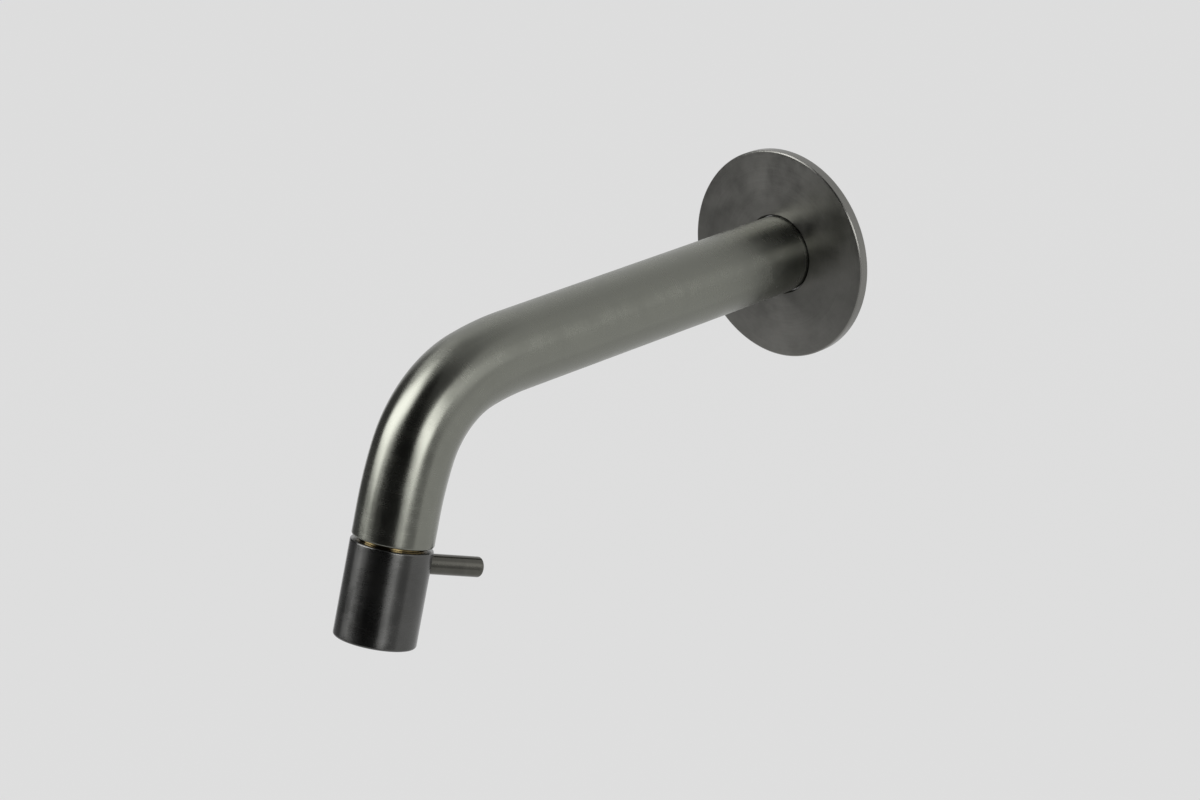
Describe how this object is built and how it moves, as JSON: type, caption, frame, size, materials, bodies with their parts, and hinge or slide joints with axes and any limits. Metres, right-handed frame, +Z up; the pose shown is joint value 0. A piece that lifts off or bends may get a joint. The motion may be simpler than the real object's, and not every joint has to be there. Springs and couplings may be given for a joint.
{
  "type": "wall basin tap",
  "caption": "Wall spout tap for a basin: a bent tube on a round rosette, with an end piece and side lever that turn to open a ceramic disc valve, and an aerator in that end piece.",
  "frame": {"origin": "centre of the pipe thread where it leaves the wall, on the wall's surface", "axes": "+Z up, +Y into the wall along the pipe thread, so the spout points along -Y, and +X to the right for someone who faces the wall"},
  "size_m": [0.06, 0.1903, 0.0997],
  "materials": {
    "tube_gunmetal": "gunmetal coating, finely brushed around the tube",
    "rosette_gunmetal": "gunmetal coating, turned face with fine circular marks",
    "knob_gunmetal": "darker gunmetal coating, brushed around the end piece",
    "lever_gunmetal": "darker gunmetal coating, brushed around the lever",
    "aerator_gunmetal": "satin, dark gunmetal coating",
    "brass": "turned, bare",
    "stainless": "turned, bare",
    "ceramic": "lapped alumina ceramic, opaque",
    "black_rubber": "matt",
    "gasket_foam": "matt closed-cell foam",
    "white_plastic": "matt",
    "grey_plastic": "matt"
  },
  "bodies": {
    "spout": {"spout_tube": "tube_gunmetal", "inlet_sleeve": "brass", "wall_nipple": "brass", "lock_screw": "stainless", "spigot_ring_back": "black_rubber", "spigot_ring_front": "black_rubber", "outlet_insert": "brass", "housing_seal": "black_rubber", "valve_housing": "brass", "seat_seal": "black_rubber", "fixed_disc": "ceramic", "thrust_washer": "white_plastic", "gland_nut": "brass", "glide_ring": "white_plastic"},
    "knob": {"knob_sleeve": "knob_gunmetal", "lever_pin": "lever_gunmetal", "knob_nut": "brass", "turning_disc": "ceramic", "spindle": "brass", "spindle_ring": "black_rubber", "aerator_seal": "black_rubber", "flow_regulator": "grey_plastic", "aerator_insert": "grey_plastic", "outlet_screen": "grey_plastic", "aerator_housing": "aerator_gunmetal"},
    "rosette": {"wall_rosette": "rosette_gunmetal", "rosette_ring": "black_rubber", "rosette_gasket": "gasket_foam"}
  },
  "joints": [
    {"name": "knob_turn", "type": "hinge", "parent": "spout", "child": "knob", "pos_m": [0, -0.15864, -0.0407], "axis": [0, -0.2588, -0.9659], "range_deg": [0, 90]},
    {"name": "rosette_slide", "type": "slide", "parent": "spout", "child": "rosette", "axis": [0, -1, 0], "range_m": [0, 0.1]}
  ]
}
